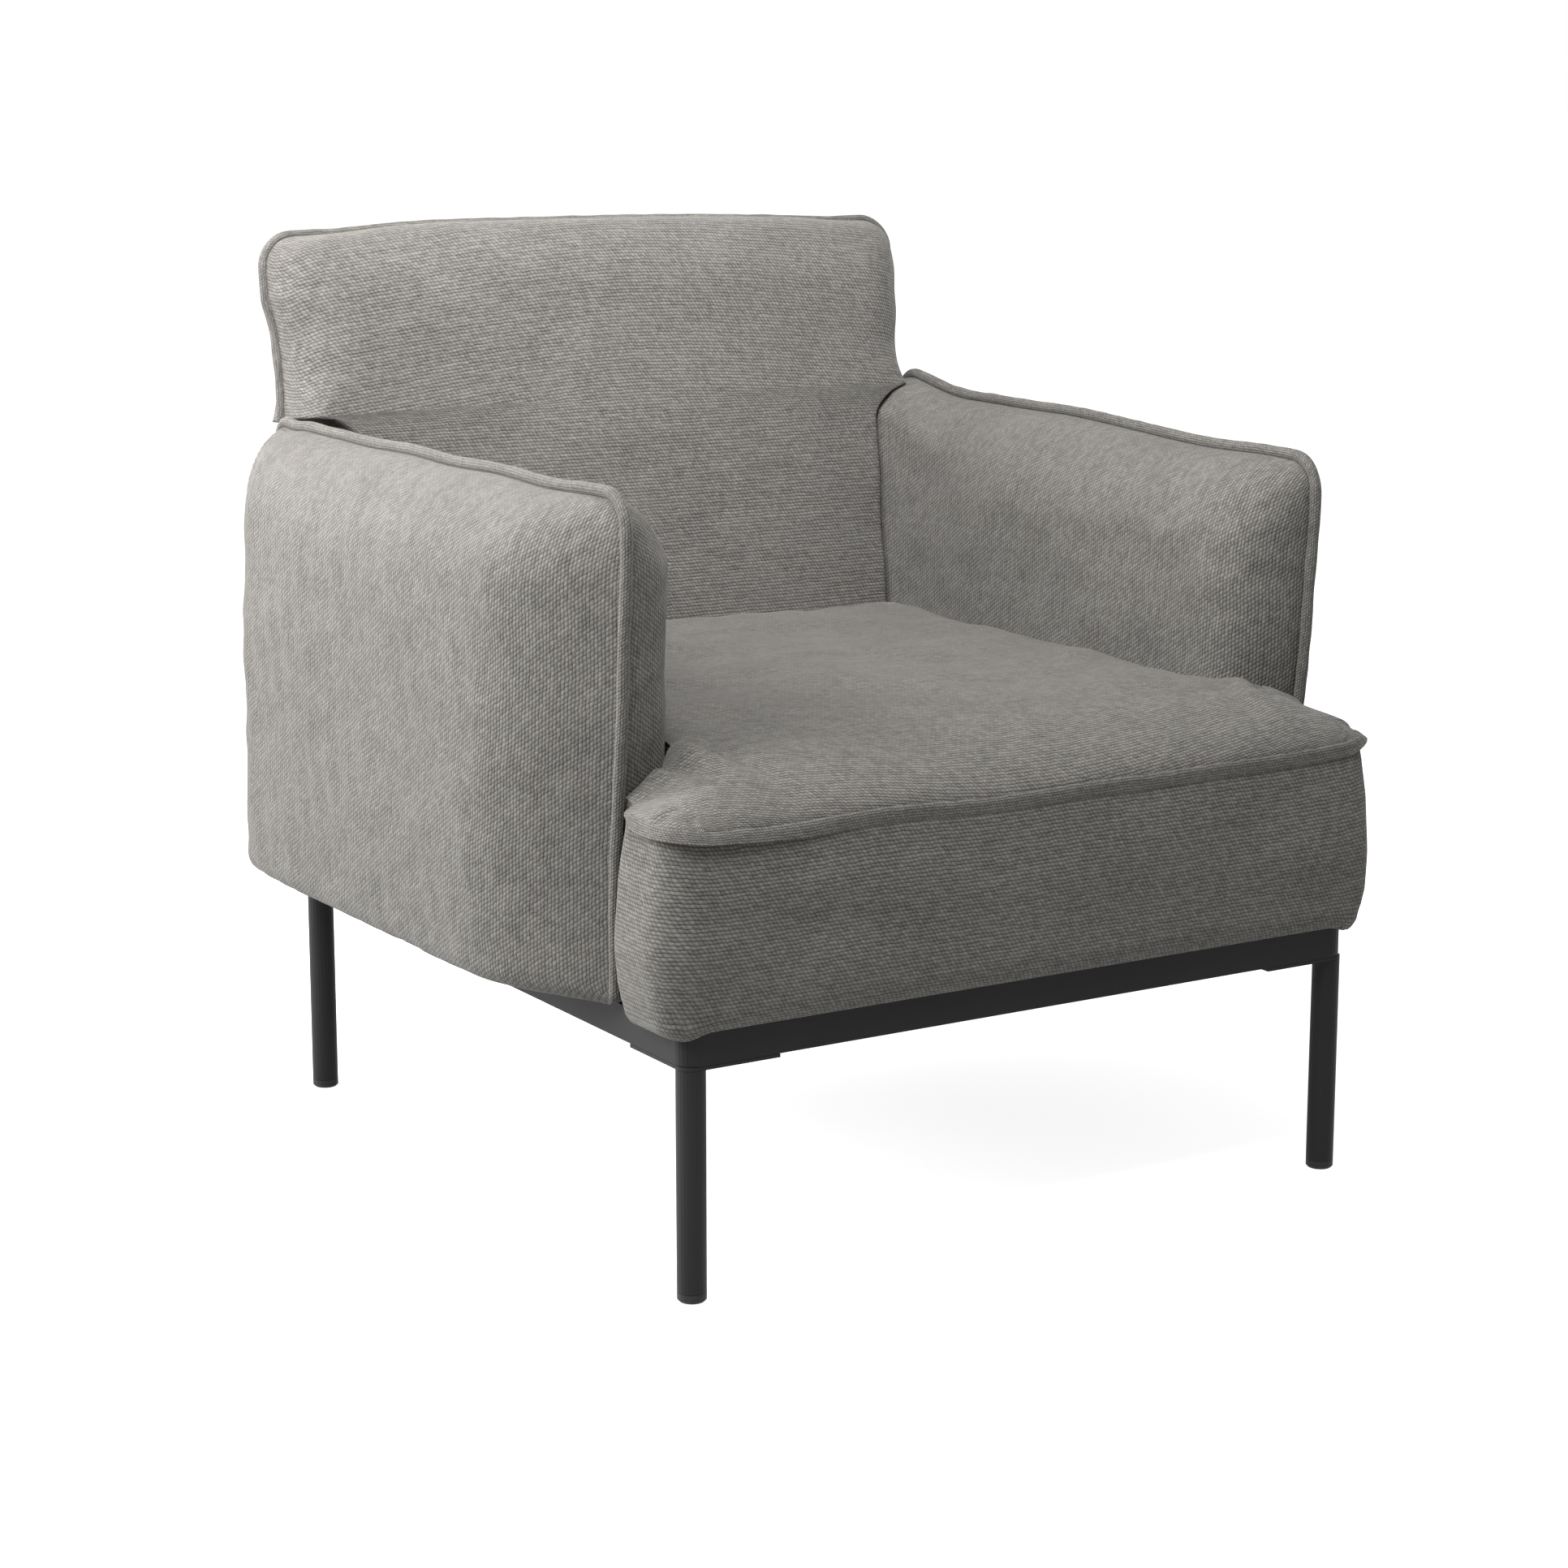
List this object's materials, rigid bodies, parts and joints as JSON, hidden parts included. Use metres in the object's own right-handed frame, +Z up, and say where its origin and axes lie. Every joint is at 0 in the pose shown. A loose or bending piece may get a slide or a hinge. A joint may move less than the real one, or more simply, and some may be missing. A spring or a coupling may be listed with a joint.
{
  "type": "upholstered armchair",
  "caption": "Low lounge armchair with pillow-like arms and back, piped seams, a T-shaped seat and a slim black steel base on round legs.",
  "frame": {"origin": "on the floor under the middle of the chair's whole box", "axes": "+Z up, the chair faces -Y, +X to the right as seen from the front; left and right in node names are as seen from the front"},
  "size_m": [0.855, 0.8286, 0.8433],
  "materials": {
    "upholstery": "warm grey woven chenille, matt with a soft nap",
    "black_steel": "satin black powder coat",
    "zinc_steel": "zinc plated",
    "glide_plastic": "black moulded plastic",
    "timber": "raw birch plywood and pine",
    "foam": "cut polyurethane foam",
    "underlining": "black elastic webbing and non-woven underlining"
  },
  "bodies": {
    "root": {"back_bottom_rail": "timber", "back_bracket_left": "black_steel", "back_bracket_right": "black_steel", "back_cover": "upholstery", "back_foam_front": "foam", "back_foam_rear": "foam", "back_piping": "upholstery", "back_post_left": "timber", "back_post_right": "timber", "back_top_rail": "timber", "dust_cover": "underlining", "front_rail": "black_steel", "glide_1": "glide_plastic", "glide_2": "glide_plastic", "glide_3": "glide_plastic", "glide_4": "glide_plastic", "left_arm_base": "timber", "left_arm_bolt_1": "zinc_steel", "left_arm_bolt_2": "zinc_steel", "left_arm_cover": "upholstery", "left_arm_foam_inner": "foam", "left_arm_foam_outer": "foam", "left_arm_panel": "timber", "left_arm_piping": "upholstery", "left_rail": "black_steel", "leg_1": "black_steel", "leg_2": "black_steel", "leg_3": "black_steel", "leg_4": "black_steel", "leg_plate_1": "black_steel", "leg_plate_2": "black_steel", "leg_plate_3": "black_steel", "leg_plate_4": "black_steel", "leg_screw_1": "zinc_steel", "leg_screw_2": "zinc_steel", "leg_screw_3": "zinc_steel", "leg_screw_4": "zinc_steel", "leg_screw_5": "zinc_steel", "leg_screw_6": "zinc_steel", "leg_screw_7": "zinc_steel", "leg_screw_8": "zinc_steel", "rear_rail": "black_steel", "right_arm_base": "timber", "right_arm_bolt_1": "zinc_steel", "right_arm_bolt_2": "zinc_steel", "right_arm_cover": "upholstery", "right_arm_foam_inner": "foam", "right_arm_foam_outer": "foam", "right_arm_panel": "timber", "right_arm_piping": "upholstery", "right_rail": "black_steel", "seat_cover": "upholstery", "seat_foam": "foam", "seat_frame_front": "timber", "seat_frame_left": "timber", "seat_frame_rear": "timber", "seat_frame_right": "timber", "seat_webbing_1": "underlining", "seat_webbing_2": "underlining", "seat_webbing_3": "underlining"}
  },
  "joints": []
}
